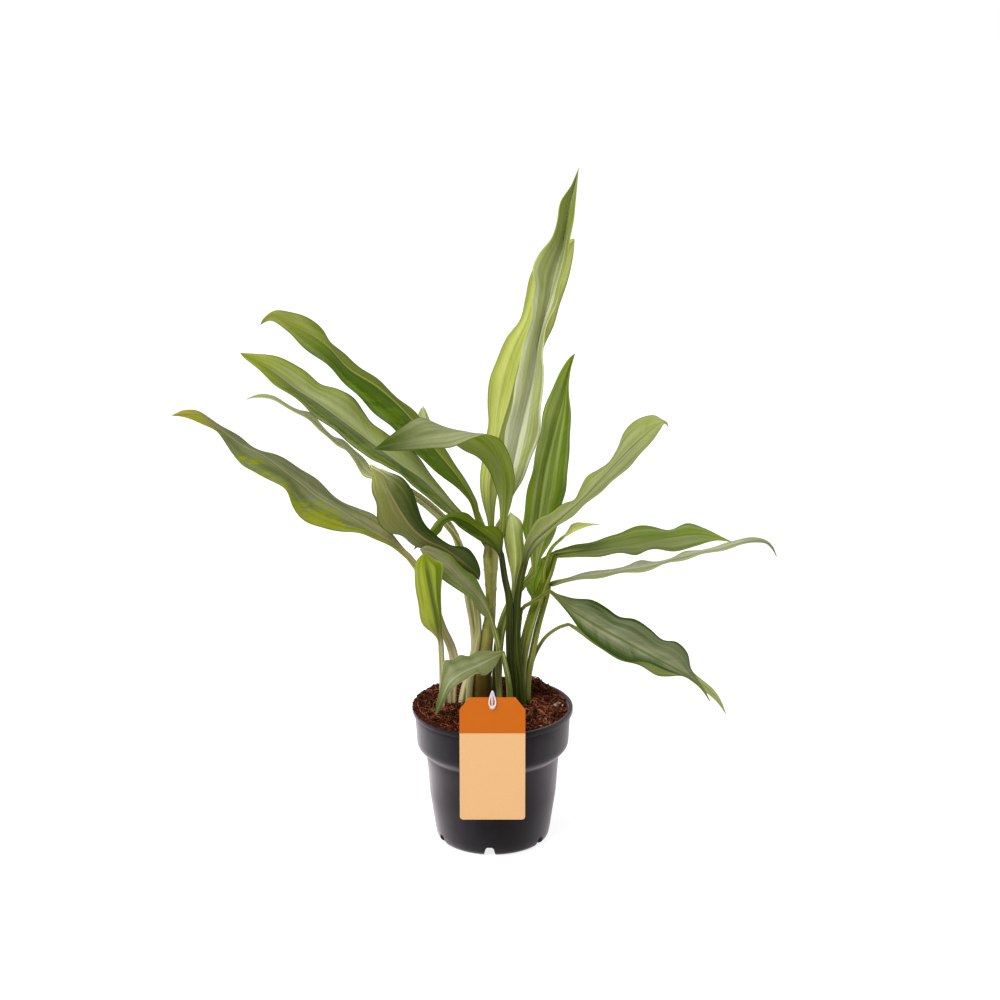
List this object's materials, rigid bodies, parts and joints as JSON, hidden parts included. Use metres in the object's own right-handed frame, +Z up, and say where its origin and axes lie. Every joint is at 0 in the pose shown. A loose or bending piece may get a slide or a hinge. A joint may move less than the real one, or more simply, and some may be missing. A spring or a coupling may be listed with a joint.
{
  "type": "potted white lance chinese evergreen",
  "caption": "Narrow-leaved chinese evergreen with long stalked lance leaves, rooted in soil in a round nursery pot with a blank swing tag.",
  "frame": {"origin": "middle of the pot's foot, on the surface that the pot stands on", "axes": "+Z up along the pot's axis, the tag hangs on the -Y side, and the leaves spread mostly along X"},
  "size_m": [0.4372, 0.1414, 0.5146],
  "materials": {
    "leaf_silver_green": "satin leaf, sage green with silvery streaks",
    "leaf_deep_green": "satin leaf, strong green with a paler midrib",
    "leaf_yellow_green": "satin leaf, yellow green",
    "cane_bark": "smooth olive to brown cane with leaf scars",
    "soil_peat": "dark brown peat and coir fibre, matt",
    "pot_plastic": "charcoal moulded plastic, satin",
    "tag_card": "blank coated card, orange head and pale peach body",
    "tie_plastic": "milky soft plastic"
  },
  "bodies": {
    "root": {"leaf_tall_front": "leaf_silver_green", "leaf_arched_front": "leaf_silver_green", "leaf_left_upper": "leaf_silver_green", "leaf_left_thin": "leaf_silver_green", "leaf_left_front": "leaf_silver_green", "leaf_left_long": "leaf_silver_green", "leaf_left_low": "leaf_silver_green", "leaf_front_low": "leaf_silver_green", "leaf_right_upper": "leaf_silver_green", "leaf_right_thin": "leaf_silver_green", "leaf_left_top": "leaf_deep_green", "leaf_left_short": "leaf_deep_green", "leaf_right_spear": "leaf_deep_green", "leaf_right_level": "leaf_deep_green", "leaf_right_low": "leaf_deep_green", "leaf_right_inner": "leaf_deep_green", "leaf_tall_back": "leaf_yellow_green", "leaf_back_top": "leaf_yellow_green", "leaf_left_young": "leaf_yellow_green", "leaf_right_low_back": "leaf_yellow_green", "leaf_right_small": "leaf_yellow_green", "sheath_young": "leaf_yellow_green", "cane": "cane_bark", "soil": "soil_peat", "pot": "pot_plastic", "tag": "tag_card", "tag_tie": "tie_plastic"}
  },
  "joints": []
}
